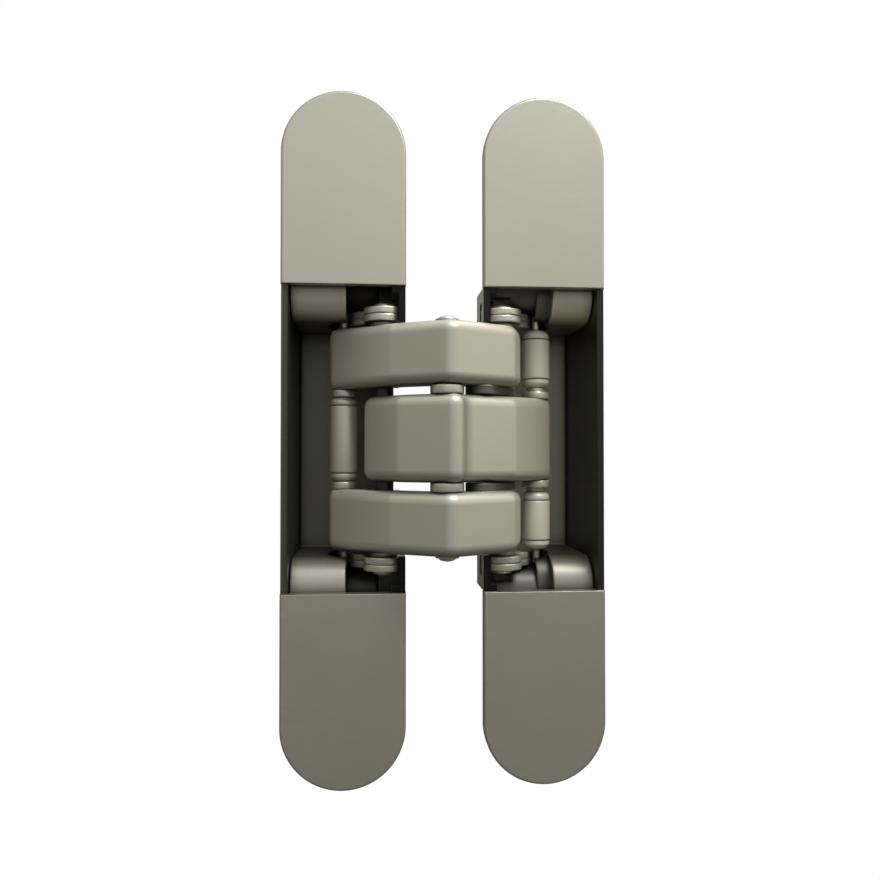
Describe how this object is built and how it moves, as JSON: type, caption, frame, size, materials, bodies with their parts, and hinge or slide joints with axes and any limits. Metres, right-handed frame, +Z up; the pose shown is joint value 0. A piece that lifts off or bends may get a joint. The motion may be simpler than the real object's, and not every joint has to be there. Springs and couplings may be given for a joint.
{
  "type": "concealed door hinge",
  "caption": "Concealed door hinge: two slim round-ended mortise housings joined by crossed, bent arms that fold inside as the door closes.",
  "frame": {"origin": "middle of the frame housing's four fixing holes, on the back of the shallow ends that rest in the mortise", "axes": "+X from the frame half to the door half when open, +Y into the mortise, +Z up along the pivot pins"},
  "size_m": [0.063, 0.0381, 0.134],
  "materials": {
    "satin_case": "satin metallic",
    "satin_cover": "satin metallic",
    "satin_arm": "satin metallic",
    "steel_plate": "satin",
    "steel_pin": "satin",
    "dark_screw": "blackened"
  },
  "bodies": {
    "frame_side": {"frame_housing": "satin_case", "frame_upper_cover": "satin_cover", "frame_lower_cover": "satin_cover", "frame_carriage": "satin_case", "frame_upper_plate": "steel_plate", "frame_lower_plate": "steel_plate", "frame_pivot_pin": "steel_pin", "frame_pivot_washers": "steel_pin", "frame_clamp_screws": "dark_screw", "frame_height_screws": "dark_screw"},
    "middle_arm": {"middle_arm": "satin_arm", "center_pin": "steel_pin", "center_washers": "steel_pin", "door_guide_pin": "steel_pin", "door_upper_barrel": "satin_arm", "door_lower_barrel": "satin_arm", "door_guide_washers": "steel_pin"},
    "outer_arms": {"upper_arm": "satin_arm", "lower_arm": "satin_arm", "frame_guide_pin": "steel_pin", "frame_guide_barrel": "satin_arm", "frame_guide_washers": "steel_pin"},
    "door_side": {"door_housing": "satin_case", "door_upper_cover": "satin_cover", "door_lower_cover": "satin_cover", "door_carriage": "satin_case", "door_upper_plate": "steel_plate", "door_lower_plate": "steel_plate", "door_pivot_pin": "steel_pin", "door_pivot_washers": "steel_pin", "door_clamp_screws": "dark_screw", "door_height_screws": "dark_screw"}
  },
  "joints": [
    {"name": "middle_arm_swing", "type": "hinge", "parent": "frame_side", "child": "middle_arm", "pos_m": [0.0078, -0.0062, 0], "axis": [0, 0, -1], "range_deg": [0, 114.1]},
    {"name": "arm_crossing", "type": "hinge", "parent": "middle_arm", "child": "outer_arms", "pos_m": [0.0195, -0.0157, 0], "axis": [0, 0, 1], "range_deg": [0, 48.3]},
    {"name": "door_swing", "type": "hinge", "parent": "outer_arms", "child": "door_side", "pos_m": [0.0312, -0.0062, 0], "axis": [0, 0, -1], "range_deg": [0, 114.1]}
  ],
  "couplings": [
    {"joint": "arm_crossing", "follows": "middle_arm_swing", "ratio": 0.4225},
    {"joint": "door_swing", "follows": "middle_arm_swing", "ratio": 1}
  ]
}
